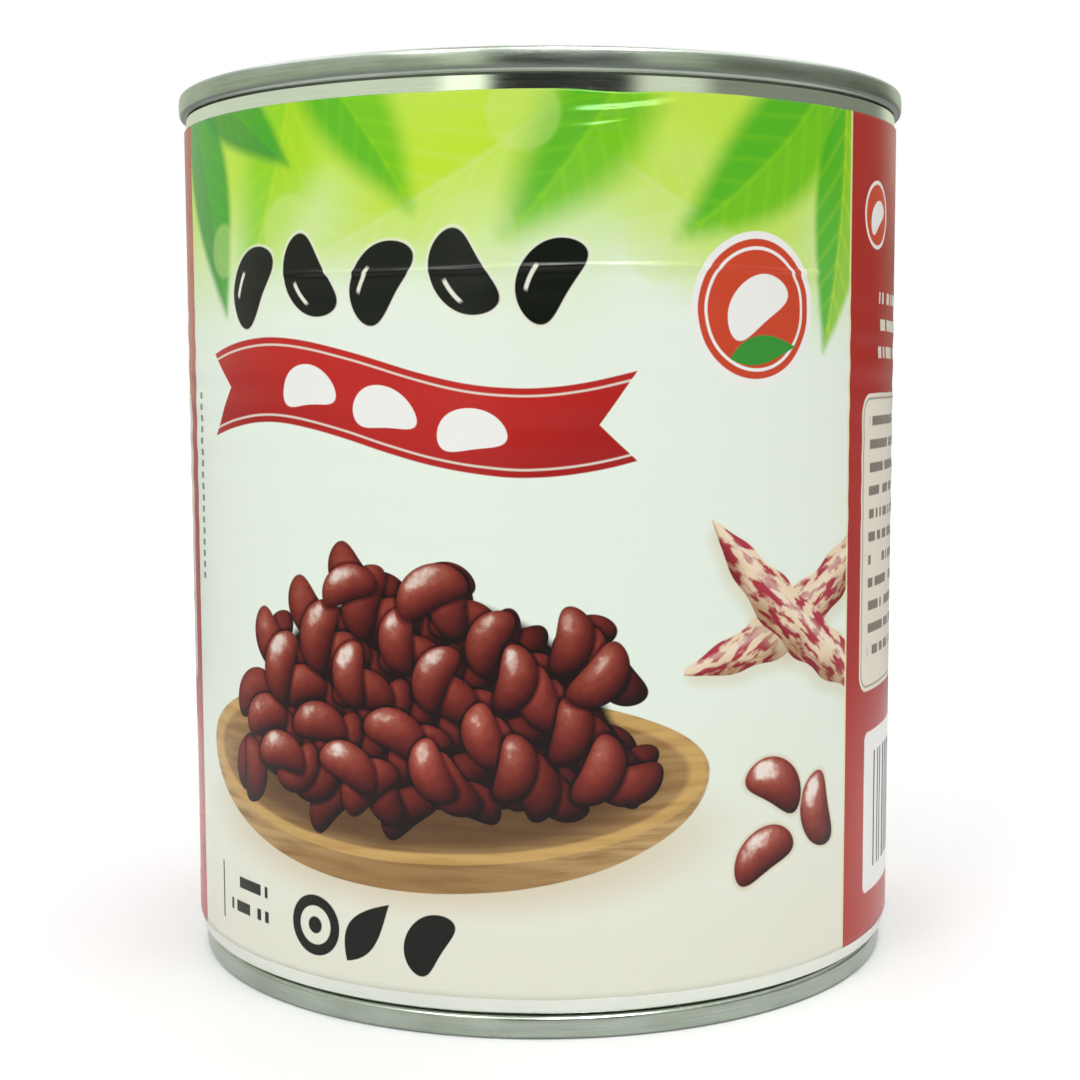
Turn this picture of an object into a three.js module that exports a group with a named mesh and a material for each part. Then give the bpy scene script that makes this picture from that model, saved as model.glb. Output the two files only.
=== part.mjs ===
// A shut food can of the 850 ml size, standing upright in a wrapped paper label.
// Millimetres, +Z up, the origin at the middle of the base. The front of the label faces -Y.
// Four pieces: the filled tinplate body, a double-seamed end at the top and at the base, and the label.

import * as THREE from 'three';

// Driving dimensions
const CAN_HEIGHT = 118.5;
const BODY_RADIUS = 49.6;
const ROUND_STEPS = 64; // facets round the can, alike in every piece
const CLEARANCE = 0.1; // between neighbouring pieces

// Double seams: the folded rims that close the can. The lower one is drawn in so that cans stack.
const TOP_SEAM_RADIUS = 50.5;
const BASE_SEAM_RADIUS = 48.95;
const SEAM_HEIGHT = 2.95;
const SEAM_THICKNESS = 1.3;
const SEAM_OVERHANG = 0.95; // how far a seam stands proud of the wall that it closes
const CROWN_ROUND = 0.4; // at both edges of the seam's crown, which leaves a narrow flat between them
const CURL_ROUND = 0.8; // at the seam's other edge, beside the wall

// Body wall
const WALL_THICKNESS = 0.4;
const WALL_TO_SEAM = 0.15; // the dark line between the wall and the seam's edge
const NECK_HEIGHT = 3.1; // height over which the wall draws in towards the lower seam
const NECK_STEPS = 5;

// Ends, as depths below the crown of the seam and radii from the axis
const END_DEPTH = 7.2; // the end's inner face, which the body's filling meets
const COUNTERSINK_DEPTH = 4.9;
const COUNTERSINK_WIDTH = 1.5;
const CHUCK_WALL_LEAN = 1.1; // the wall inside the seam leans inwards by this much
const PANEL_DEPTH = 3.4;
const PANEL_EDGE_ROUND = 0.45;
const PANEL_WALL_LEAN = 0.6; // the same for the wall between the countersink and the panel
const RIDGE_RADII = [37.5, 32, 26.5]; // concentric ridges pressed into the panel
const RIDGE_HALF_WIDTH = 1.7;
const RIDGE_HEIGHT = 0.75;
const RIDGE_STEPS = 4;
const CENTRE_RADIUS = 20.5; // the sunk middle of the panel
const CENTRE_DROP = 0.45;
const CENTRE_SLOPE = 1.3;

// Paper label: one strip wrapped round the wall, its ends lapped where a side panel meets the back one
const LABEL_BOTTOM = 5.4;
const LABEL_TOP = 113.6;
const LABEL_THICKNESS = 0.15;
const LAP_DIRECTION = THREE.MathUtils.degToRad(147); // from +X, so on the left towards the back
const LAP_LENGTH = 8; // along the wrap
const LAP_CLIMB = 14; // length over which the outer end climbs onto the inner one

// Points along a circular arc in the (radius, height) plane, both ends included. Angles are in degrees.
function arc(radius, height, size, from, to, steps) {
  return Array.from({ length: steps + 1 }, (_, i) => {
    const angle = THREE.MathUtils.degToRad(from + ((to - from) * i) / steps);
    return [radius + size * Math.cos(angle), height + size * Math.sin(angle)];
  });
}

// A ridge of cosine section, from its outer foot to its inner foot.
function ridge(centre) {
  return Array.from({ length: RIDGE_STEPS + 1 }, (_, i) => {
    const across = 1 - (2 * i) / RIDGE_STEPS;
    const rise = 0.5 * RIDGE_HEIGHT * (1 + Math.cos(Math.PI * across));
    return [centre + across * RIDGE_HALF_WIDTH, rise - PANEL_DEPTH];
  });
}

// A closed profile turned about Z. Its points run from the low end of the axis, outwards and up.
function turned(points) {
  const profile = points.map(([radius, height]) => new THREE.Vector2(radius, height));
  return new THREE.LatheGeometry(profile, ROUND_STEPS).rotateX(Math.PI / 2);
}

// An end with its seam, drawn for the top of the can. Heights count from the crown of the seam.
function endProfile(seamRadius) {
  const plug = seamRadius - SEAM_OVERHANG - WALL_THICKNESS - CLEARANCE;
  const seamInside = seamRadius - SEAM_THICKNESS;
  const sinkRound = COUNTERSINK_WIDTH / 2;
  const sinkCentre = seamInside - CHUCK_WALL_LEAN - sinkRound;
  const panelEdge = sinkCentre - sinkRound - PANEL_WALL_LEAN;
  return [
    [0, -END_DEPTH],
    [plug, -END_DEPTH],
    [plug, -SEAM_HEIGHT],
    ...arc(seamRadius - CURL_ROUND, CURL_ROUND - SEAM_HEIGHT, CURL_ROUND, -90, 0, 3),
    ...arc(seamRadius - CROWN_ROUND, -CROWN_ROUND, CROWN_ROUND, 0, 90, 3),
    ...arc(seamInside + CROWN_ROUND, -CROWN_ROUND, CROWN_ROUND, 90, 180, 3),
    ...arc(sinkCentre, sinkRound - COUNTERSINK_DEPTH, sinkRound, 0, -180, 4),
    ...arc(panelEdge - PANEL_EDGE_ROUND, -PANEL_DEPTH - PANEL_EDGE_ROUND, PANEL_EDGE_ROUND, 0, 90, 2),
    ...RIDGE_RADII.flatMap(ridge),
    [CENTRE_RADIUS + CENTRE_SLOPE, -PANEL_DEPTH],
    [CENTRE_RADIUS, -PANEL_DEPTH - CENTRE_DROP],
    [0, -PANEL_DEPTH - CENTRE_DROP],
  ];
}

function topEnd() {
  return turned(endProfile(TOP_SEAM_RADIUS).map(([radius, height]) => [radius, CAN_HEIGHT + height]));
}

// The same end upside down: mirrored in height, so its points run the other way.
function baseEnd() {
  return turned(endProfile(BASE_SEAM_RADIUS).map(([radius, height]) => [radius, -height]).toReversed());
}

// The wall, necked in at the base, and the filling, which reaches both ends.
function body() {
  const neckRadius = BASE_SEAM_RADIUS - SEAM_OVERHANG;
  const wallFoot = SEAM_HEIGHT + WALL_TO_SEAM;
  const wallTop = CAN_HEIGHT - SEAM_HEIGHT - WALL_TO_SEAM;
  const fillingFoot = END_DEPTH + CLEARANCE;
  const fillingTop = CAN_HEIGHT - END_DEPTH - CLEARANCE;
  const neck = Array.from({ length: NECK_STEPS + 1 }, (_, i) => {
    const share = i / NECK_STEPS;
    const swell = 0.5 * (1 - Math.cos(Math.PI * share));
    return [neckRadius + (BODY_RADIUS - neckRadius) * swell, wallFoot + NECK_HEIGHT * share];
  });
  return turned([
    [0, fillingFoot],
    [neckRadius - WALL_THICKNESS, fillingFoot],
    [neckRadius - WALL_THICKNESS, wallFoot],
    ...neck,
    [BODY_RADIUS, wallTop],
    [BODY_RADIUS - WALL_THICKNESS, wallTop],
    [BODY_RADIUS - WALL_THICKNESS, fillingTop],
    [0, fillingTop],
  ]);
}

// The label's strip seen from above: along its inner face, and back along its outer face.
// Its last stretch climbs clear of its own first end and laps over it.
function label() {
  const innerRadius = BODY_RADIUS + CLEARANCE;
  const start = LAP_DIRECTION - LAP_LENGTH / 2 / innerRadius;
  const lapStart = start + 2 * Math.PI;
  const climbStart = lapStart - LAP_CLIMB / innerRadius;
  const end = lapStart + LAP_LENGTH / innerRadius;

  const facet = (2 * Math.PI) / ROUND_STEPS;
  const firstFacet = Math.ceil(start / facet);
  const facetTurns = Array.from({ length: ROUND_STEPS + 1 }, (_, i) => (firstFacet + i) * facet);
  const turns = [start, ...facetTurns, climbStart, lapStart, end].sort((a, b) => a - b);

  const along = (angle, lift) => {
    const climb = (LABEL_THICKNESS + CLEARANCE) * THREE.MathUtils.smoothstep(angle, climbStart, lapStart);
    const radius = innerRadius + climb + lift;
    return new THREE.Vector2(radius * Math.cos(angle), radius * Math.sin(angle));
  };
  const strip = new THREE.Shape([
    ...turns.map((angle) => along(angle, 0)),
    ...turns.toReversed().map((angle) => along(angle, LABEL_THICKNESS)),
  ]);
  const wrap = new THREE.ExtrudeGeometry(strip, { depth: LABEL_TOP - LABEL_BOTTOM, bevelEnabled: false });
  return wrap.translate(0, 0, LABEL_BOTTOM);
}

const endSteel = new THREE.MeshStandardMaterial({ color: '#8f968c', roughness: 0.32, metalness: 1 });
const bodySteel = new THREE.MeshStandardMaterial({ color: '#c9cec6', roughness: 0.22, metalness: 1 });
const labelPaper = new THREE.MeshStandardMaterial({ color: '#dfe8cf', roughness: 0.35, metalness: 0 });

function named(name, geometry, material) {
  const mesh = new THREE.Mesh(geometry, material);
  mesh.name = name;
  return mesh;
}

const can = new THREE.Group();
can.add(
  named('can_body', body(), bodySteel),
  named('top_end', topEnd(), endSteel),
  named('base_end', baseEnd(), endSteel),
  named('paper_label', label(), labelPaper),
);

export default can;
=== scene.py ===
"""A shut food can of kidney beans, standing upright in its wrapped and printed paper label.

Sizes in the classes are millimetres and become metres, the scene's unit, where a mesh or a node is made.
"""

import logging
import math
from dataclasses import dataclass
from enum import Enum

import bmesh
import bpy
from mathutils import Matrix
from mathutils import Vector


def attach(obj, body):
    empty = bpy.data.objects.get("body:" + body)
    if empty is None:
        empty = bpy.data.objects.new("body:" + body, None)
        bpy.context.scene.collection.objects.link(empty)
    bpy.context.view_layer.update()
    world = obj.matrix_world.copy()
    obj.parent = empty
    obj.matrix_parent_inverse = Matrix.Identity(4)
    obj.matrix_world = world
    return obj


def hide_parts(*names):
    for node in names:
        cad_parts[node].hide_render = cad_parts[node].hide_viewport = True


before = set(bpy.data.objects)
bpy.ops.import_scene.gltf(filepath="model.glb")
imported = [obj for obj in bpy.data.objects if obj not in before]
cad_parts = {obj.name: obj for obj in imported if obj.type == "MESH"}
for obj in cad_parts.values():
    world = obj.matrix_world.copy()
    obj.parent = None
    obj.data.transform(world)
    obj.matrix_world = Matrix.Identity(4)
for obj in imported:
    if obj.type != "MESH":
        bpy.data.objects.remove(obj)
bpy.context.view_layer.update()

MM = 0.001
BODY = "root"
LOG = logging.getLogger("bean_can")

Point = tuple[float, float]
Colour = tuple[float, float, float]


# Node trees

@dataclass(frozen=True)
class Field:
    """An output socket of a node tree. Arithmetic on it adds Math nodes to the tree."""

    tree: "Tree"
    socket: bpy.types.NodeSocket

    def __add__(self, other: "Amount") -> "Field":
        """Sum."""
        return self.tree.math("ADD", self, other)

    def __radd__(self, other: float) -> "Field":
        """Sum, number first."""
        return self.tree.math("ADD", other, self)

    def __sub__(self, other: "Amount") -> "Field":
        """Difference."""
        return self.tree.math("SUBTRACT", self, other)

    def __rsub__(self, other: float) -> "Field":
        """Difference, number first."""
        return self.tree.math("SUBTRACT", other, self)

    def __mul__(self, other: "Amount") -> "Field":
        """Product."""
        return self.tree.math("MULTIPLY", self, other)

    def __rmul__(self, other: float) -> "Field":
        """Product, number first."""
        return self.tree.math("MULTIPLY", other, self)

    def __truediv__(self, other: "Amount") -> "Field":
        """Quotient."""
        return self.tree.math("DIVIDE", self, other)

    def __abs__(self) -> "Field":
        """Size without its sign."""
        return self.tree.math("ABSOLUTE", self)


Amount = Field | float


class Tree:
    """A shader or geometry node tree that is being written."""

    def __init__(self, nodes: bpy.types.NodeTree) -> None:
        """Takes the tree to write in."""
        self.data = nodes

    def add(self, kind: str, **settings: object) -> bpy.types.Node:
        """Adds a node.

        Args:
            kind: the node's type name.
            settings: properties of the node to set.

        Returns:
            The new node.
        """
        node = self.data.nodes.new(kind)
        for name, value in settings.items():
            setattr(node, name, value)
        return node

    def feed(self, node: bpy.types.Node, inputs: dict[int | str, object]) -> None:
        """Links fields to a node's inputs, or sets the inputs' own values.

        Args:
            node: the node.
            inputs: a field or value for each input, by name or number. None leaves it alone.
        """
        for name, value in inputs.items():
            socket = node.inputs[name]
            if isinstance(value, Field):
                self.data.links.new(value.socket, socket)
            elif value is not None:
                is_colour = socket.type == "RGBA" and len(value) == 3
                socket.default_value = (*value, 1.0) if is_colour else value

    def out(self, node: bpy.types.Node, output: int | str = 0) -> Field:
        """One output of a node, as a field."""
        return Field(self, node.outputs[output])

    def call(self, kind: str, inputs: dict[int | str, object], output: int | str = 0,
             **settings: object) -> Field:
        """Adds a node with its inputs.

        Args:
            kind: the node's type name.
            inputs: a field or value for each input, by name or number.
            output: the output that is wanted.
            settings: properties of the node to set.

        Returns:
            That output.
        """
        node = self.add(kind, **settings)
        self.feed(node, inputs)
        return self.out(node, output)

    def math(self, operation: str, *numbers: Amount) -> Field:
        """A Math node."""
        return self.call("ShaderNodeMath", dict(enumerate(numbers)), operation=operation)

    def fused(self, first: Amount, second: Amount, added: Amount) -> Field:
        """The first number times the second, plus the third."""
        return self.math("MULTIPLY_ADD", first, second, added)

    def largest(self, first: Amount, second: Amount) -> Field:
        """The larger of two numbers."""
        return self.math("MAXIMUM", first, second)

    def vector(self, operation: str, first: object, second: object = None) -> Field:
        """A Vector Math node.

        Args:
            operation: the operation's name.
            first: the first vector.
            second: the second vector, or the factor of a SCALE.

        Returns:
            The result, which is a number for a LENGTH.
        """
        inputs = {0: first, "Scale" if operation == "SCALE" else 1: second}
        output = "Value" if operation == "LENGTH" else "Vector"
        return self.call("ShaderNodeVectorMath", inputs, output, operation=operation)

    def split(self, vector: Field) -> list[Field]:
        """The numbers of a vector.

        Args:
            vector: the vector.

        Returns:
            Its three numbers.
        """
        node = self.add("ShaderNodeSeparateXYZ")
        self.feed(node, {0: vector})
        return [self.out(node, i) for i in range(3)]

    def join(self, x: Amount, y: Amount, z: Amount = 0.0) -> Field:
        """A vector of three numbers."""
        return self.call("ShaderNodeCombineXYZ", {0: x, 1: y, 2: z})

    def grey(self, level: Field) -> Field:
        """A grey colour."""
        return self.join(level, level, level)

    def object_place(self) -> Field:
        """The place on the object."""
        return self.out(self.add("ShaderNodeTexCoord"), "Object")

    def ramp(self, value: Field, low: Amount, high: Amount, bottom: float = 0.0, top: float = 1.0) -> Field:
        """A smooth step.

        Args:
            value: what is looked at.
            low: where the step starts. It may lie above the end.
            high: where the step ends.
            bottom: the result before the step.
            top: the result after it.

        Returns:
            The result, between bottom and top.
        """
        inputs = dict(enumerate((value, low, high, bottom, top)))
        return self.call("ShaderNodeMapRange", inputs, interpolation_type="SMOOTHSTEP")

    def between(self, value: Field, low: float, high: float, soft: float) -> Field:
        """1 from low to high and 0 outside, with soft edges."""
        inside = (high - low) * 0.5 - abs(value - (high + low) * 0.5)
        return self.ramp(inside, -soft, soft)

    def blend(self, factor: Amount, under: object, over: object, mode: str = "MIX") -> Field:
        """Mixes two colours."""
        inputs = {0: factor, 6: under, 7: over}
        return self.call("ShaderNodeMix", inputs, 2, data_type="RGBA", blend_type=mode)

    def stops(self, value: Field, stops: list[tuple[float, Colour]]) -> Field:
        """A colour ramp.

        Args:
            value: where the colour is read.
            stops: places from 0 to 1, in order, and their colours.

        Returns:
            The colour.
        """
        node = self.add("ShaderNodeValToRGB")
        self.feed(node, {0: value})
        elements = node.color_ramp.elements
        while len(elements) < len(stops):
            elements.new(1.0)
        for element, (place, _) in zip(elements, stops):
            element.position = place
        for element, (_, colour) in zip(elements, stops):
            element.color = (*colour, 1.0)
        return self.out(node)

    def noise(self, vector: Field, scale: float, detail: float = 1.0, flat: bool = False) -> Field:
        """A noise between 0 and 1, which reads x and y only where it is flat."""
        return self.call("ShaderNodeTexNoise", {"Vector": vector, "Scale": scale, "Detail": detail},
                         noise_dimensions="2D" if flat else "3D")

    def chance(self, first: Amount, second: Amount, seed: float) -> Field:
        """A scattered number between 0 and 1, drawn for two whole numbers and a seed."""
        wave = self.math("SINE", self.fused(second, 78.233, first * 12.9898) + seed)
        return self.math("FRACT", wave * 437.585453)


class Group(Tree):
    """A node group with named inputs and outputs."""

    def __init__(self, name: str, inputs: str, outputs: str, kind: str = "ShaderNodeTree") -> None:
        """Makes an empty group.

        Args:
            name: the group's name.
            inputs: the inputs' names, with the kind of socket after a colon where it isn't a number.
            outputs: the same for the outputs.
            kind: the type of node tree.
        """
        super().__init__(bpy.data.node_groups.new(name, kind))
        for side, sockets in (("INPUT", inputs), ("OUTPUT", outputs)):
            for socket in sockets.split(", "):
                label, _, content = socket.partition(": ")
                self.data.interface.new_socket(name=label, in_out=side,
                                               socket_type=f"NodeSocket{content or 'Float'}")
        self.source = self.add("NodeGroupInput")
        self.sink = self.add("NodeGroupOutput")

    def given(self, name: str) -> Field:
        """One of the group's inputs, as a field inside it."""
        return self.out(self.source, name)

    def gives(self, name: str, value: Field) -> None:
        """Sets one of the group's outputs."""
        self.feed(self.sink, {name: value})

    def used(self, tree: Tree, inputs: dict[str, object]) -> bpy.types.Node:
        """Places the group in a tree.

        Args:
            tree: the tree that uses it.
            inputs: values for its inputs.

        Returns:
            The group's node.
        """
        node = tree.add("ShaderNodeGroup", node_tree=self.data)
        tree.feed(node, inputs)
        return node


def started(name: str) -> tuple[bpy.types.Material, Tree, bpy.types.Node]:
    """Starts a material.

    Args:
        name: its name.

    Returns:
        The material, its nodes and its Principled shader.
    """
    made = bpy.data.materials.new(name)
    made.use_nodes = True
    return made, Tree(made.node_tree), made.node_tree.nodes["Principled BSDF"]


# Steel finishes

@dataclass(frozen=True)
class Tinplate:
    """Bare tinned steel, rolled to a fine straight grain and marked by handling."""

    name: str
    colour: Colour
    shade: Colour
    roughness: float
    grain_stretch: tuple[float, float, float]
    ringed_from: float
    bump_strength: float = 0.35
    bump_depth: float = 0.02

    def material(self, marks: "SteelMarks") -> bpy.types.Material:
        """Builds the finish.

        Args:
            marks: the effects that every steel finish shares.

        Returns:
            The material.
        """
        made, tree, shader = started(self.name)
        place = tree.object_place()
        grain = marks.grain.used(tree, {"Place": place, "Stretch": self.grain_stretch,
                                        "Ringed From": self.ringed_from * MM})
        scuff = tree.out(marks.handling.used(tree, {"Place": place}))
        tone = tree.out(grain, "Tone")
        height = tree.out(grain, "Height") + scuff * 0.6
        tree.feed(shader, {
            "Metallic": 1.0,
            "Base Color": tree.blend(tone, self.shade, self.colour),
            "Roughness": self.roughness + tone * 0.07 + scuff * 0.14,
            "Normal": tree.call("ShaderNodeBump", {"Strength": self.bump_strength,
                                                   "Distance": self.bump_depth * MM, "Height": height})})
        return made


class SteelMarks:
    """Shader groups that every steel finish shares."""

    def __init__(self) -> None:
        """Builds both groups."""
        self.grain = self._rolled_grain()
        self.handling = self._handling()

    @staticmethod
    def _rolled_grain() -> Group:
        """Fine parallel lines left by the mill, over a broad clouding. Far enough out they run in rings.

        Returns:
            The group.
        """
        group = Group("Rolled grain", "Place: Vector, Stretch: Vector, Ringed From", "Tone, Height")
        place = group.given("Place")
        x, y, z = group.split(place)
        radius = group.math("SQRT", group.fused(x, x, y * y))
        ringed = group.math("GREATER_THAN", radius, group.given("Ringed From"))
        rings = group.join(abs(group.math("ARCTAN2", y, x)) * 6.0, radius * 2600.0, z * 2600.0)
        straight = group.vector("MULTIPLY", place, group.given("Stretch"))
        lines = group.vector("ADD", group.vector("SCALE", rings, ringed),
                             group.vector("SCALE", straight, 1.0 - ringed))
        fine = group.noise(lines, 1.0, 3.0)
        cloud = group.noise(place, 90.0, 2.0)
        group.gives("Height", fine)
        group.gives("Tone", group.ramp(fine * 0.5 + cloud * 0.5, 0.3, 0.7))
        return group

    @staticmethod
    def _handling() -> Group:
        """Short scratches in rubbed patches.

        Returns:
            The group.
        """
        group = Group("Handling marks", "Place: Vector", "Scuff")
        place = group.given("Place")
        bent = group.vector("ADD", place, group.vector("SCALE", group.noise(place, 60.0), 0.012))
        lines = group.noise(group.vector("MULTIPLY", bent, (900.0, 150.0, 700.0)), 1.0)
        patch = group.noise(place, 120.0, 2.0)
        group.gives("Scuff", group.ramp(lines, 0.68, 0.74) * group.ramp(patch, 0.55, 0.8))
        return group


# Geometry nodes

def swept(tree: Group, line: str, steps: Field, line_first: bool) -> tuple[Field, Field, Field]:
    """Sweeps a line of points into a flat grid of faces.

    Args:
        tree: the geometry tree.
        line: the name of its input that holds the line.
        steps: the number of faces across the sweep.
        line_first: whether the grid's X counts the line's points, and not its Y.

    Returns:
        The grid, the line's point that belongs to each place on it, and the share across from 0 to 1.
    """
    points = tree.given(line)
    count = tree.call("GeometryNodeAttributeDomainSize", {"Geometry": points}, "Point Count",
                      component="MESH")
    place = tree.out(tree.add("GeometryNodeInputPosition"))
    line_axis, step_axis = ("X", "Y") if line_first else ("Y", "X")
    grid = tree.call("GeometryNodeMeshGrid", {
        f"Size {line_axis}": count - 1.0, f"Size {step_axis}": steps,
        f"Vertices {line_axis}": count, f"Vertices {step_axis}": steps + 1.0}, "Mesh")
    x, y, _ = tree.split(place)
    along, across = (x, y) if line_first else (y, x)
    index = tree.math("ROUND", along + (count - 1.0) * 0.5)
    point = tree.call("GeometryNodeSampleIndex", {"Geometry": points, "Value": place, "Index": index},
                      data_type="FLOAT_VECTOR", domain="POINT")
    return grid, point, across / steps + 0.5


def finished(tree: Group, piece: Field) -> None:
    """Ends a geometry tree: its instances made real and its material set.

    Args:
        tree: the geometry tree.
        piece: the geometry that it has made.
    """
    real = tree.call("GeometryNodeRealizeInstances", {"Geometry": piece})
    tree.gives("Piece", tree.call("GeometryNodeSetMaterial", {"Geometry": real,
                                                              "Material": tree.given("Material")}))


def realised(name: str, outline: list[Point], tree: Group, inputs: dict[str, object]) -> bpy.types.Object:
    """Runs a geometry node tree on a line of points and keeps the result as a plain mesh.

    Args:
        name: the new object's name.
        outline: the line's points, as X and Z in millimetres.
        tree: the geometry node tree.
        inputs: values for the tree's named inputs.

    Returns:
        The finished object, at the origin, with no modifier.
    """
    line = bpy.data.meshes.new(name)
    points = [Vector((x * MM, 0.0, z * MM)) for x, z in outline]
    line.from_pydata(points, [(i, i + 1) for i in range(len(points) - 1)], [])
    piece = bpy.data.objects.new(name, line)
    bpy.context.scene.collection.objects.link(piece)
    modifier = piece.modifiers.new("Shape", "NODES")
    modifier.node_group = tree.data
    for item in tree.data.interface.items_tree:
        if item.in_out == "INPUT" and item.name in inputs:
            modifier[item.identifier] = inputs[item.name]
    graph = bpy.context.evaluated_depsgraph_get()
    mesh = bpy.data.meshes.new_from_object(piece.evaluated_get(graph), preserve_all_data_layers=True,
                                           depsgraph=graph)
    mesh.name = name
    mesh.materials.clear()
    mesh.materials.append(inputs["Material"])
    piece.modifiers.remove(modifier)
    piece.data = mesh
    bpy.data.meshes.remove(line)
    return piece


# Turned steel pieces

class TurnedProfile:
    """Geometry nodes that turn a line of (radius, 0, height) points about Z."""

    crisp_angle: float = 30.0
    merge_distance: float = 0.002

    def __init__(self) -> None:
        """Builds the tree."""
        tree = Group("Turned profile", "Profile: Geometry, Steps: Int, Crisp Angle, Weld Turn, Weld Width, "
                     "Weld Height, Weld From, Material: Material", "Piece: Geometry", "GeometryNodeTree")
        self.group = tree
        grid, point, share = swept(tree, "Profile", tree.given("Steps"), True)
        radius, _, height = tree.split(point)
        turn = share * math.tau
        reach = radius + self._weld(radius, turn)
        place = tree.join(reach * tree.math("COSINE", turn), reach * tree.math("SINE", turn), height)
        shape = tree.call("GeometryNodeSetPosition", {"Geometry": grid, "Position": place})
        merged = tree.call("GeometryNodeMergeByDistance", {"Geometry": shape,
                                                           "Distance": self.merge_distance * MM})
        angle = tree.out(tree.add("GeometryNodeInputMeshEdgeAngle"), "Unsigned Angle")
        crisp = tree.math("GREATER_THAN", angle, tree.given("Crisp Angle"))
        smooth = tree.call("GeometryNodeSetShadeSmooth", {"Geometry": merged}, domain="FACE")
        finished(tree, tree.call("GeometryNodeSetShadeSmooth", {"Geometry": smooth, "Selection": crisp,
                                                                "Shade Smooth": False}, domain="EDGE"))

    def _weld(self, radius: Field, turn: Field) -> Field:
        """The narrow lap of the wall's side weld, on the points that lie far enough out.

        Args:
            radius: how far out the point lies.
            turn: its angle round the can.

        Returns:
            How far the weld stands out there.
        """
        tree = self.group
        arc_length = abs(turn - tree.given("Weld Turn")) * radius
        ridge = tree.ramp(arc_length, tree.given("Weld Width"), tree.given("Weld Width") * 0.4)
        return ridge * tree.given("Weld Height") * tree.math("GREATER_THAN", radius, tree.given("Weld From"))

    def turned(self, name: str, profile: list[Point], inputs: dict[str, object]) -> bpy.types.Object:
        """Turns a closed profile.

        Args:
            name: the new object's name.
            profile: the profile, as radius and height.
            inputs: values for the tree's other inputs.

        Returns:
            The piece, its faces outward.
        """
        crisp = {"Crisp Angle": math.radians(self.crisp_angle)}
        piece = realised(name, profile, self.group, crisp | inputs)
        mesh = bmesh.new()
        mesh.from_mesh(piece.data)
        bmesh.ops.recalc_face_normals(mesh, faces=mesh.faces)
        mesh.to_mesh(piece.data)
        mesh.free()
        return piece


def arc(centre: Point, radius: float, start: float, end: float, steps: int) -> list[Point]:
    """Points along a circular arc, both ends included, with its angles in degrees."""
    turns = [math.radians(start + (end - start) * i / steps) for i in range(steps + 1)]
    return [(centre[0] + radius * math.cos(a), centre[1] + radius * math.sin(a)) for a in turns]


@dataclass
class CanWall:
    """The steel wall with its filling, necked in at the base and welded down one side."""

    can_height: float
    seam_height: float
    base_seam_radius: float
    radius: float = 49.6
    thickness: float = 0.4
    lip: float = 0.1
    seam_overhang: float = 0.95
    seam_gap: float = 0.15
    neck_height: float = 3.1
    neck_steps: int = 18
    neck_bulge: float = 11.0
    end_depth: float = 7.3
    middle: float = 60.0
    steps: int = 384
    weld_turn: float = 112.0
    weld_width: float = 0.9
    weld_height: float = 0.06

    def profile(self) -> list[Point]:
        """The closed section.

        Returns:
            Its points, from the low end of the axis outwards and up.
        """
        neck_radius = self.base_seam_radius - self.seam_overhang
        foot = self.seam_height + self.seam_gap
        top = self.can_height - foot
        filling_top = self.can_height - self.end_depth
        inside = self.radius - self.thickness
        shares = [(i / self.neck_steps) ** 2 for i in range(1, self.neck_steps + 1)]
        neck = [(neck_radius + (self.radius - neck_radius) * (1 - (1 - share) ** self.neck_bulge),
                 foot + self.neck_height * share) for share in shares]
        return [(0.0, self.end_depth), (neck_radius - self.thickness, self.end_depth),
                (neck_radius - self.thickness, foot), (neck_radius - self.lip, foot), *neck,
                (self.radius, self.middle), (self.radius, top - self.lip), (self.radius - self.lip, top),
                (inside, top), (inside, filling_top), (0.0, filling_top)]

    def build(self, lathe: TurnedProfile, steel: bpy.types.Material) -> bpy.types.Object:
        """Makes the wall.

        Args:
            lathe: the tree that turns a profile.
            steel: its finish.

        Returns:
            The piece.
        """
        return lathe.turned("wall", self.profile(), {
            "Steps": self.steps, "Weld Turn": math.radians(self.weld_turn),
            "Weld Width": self.weld_width * MM, "Weld Height": self.weld_height * MM,
            "Weld From": (self.radius - self.thickness / 2) * MM, "Material": steel})


class EndPlace(Enum):
    """Which end of the can an end closes."""

    TOP = "top"
    BASE = "base"


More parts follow.
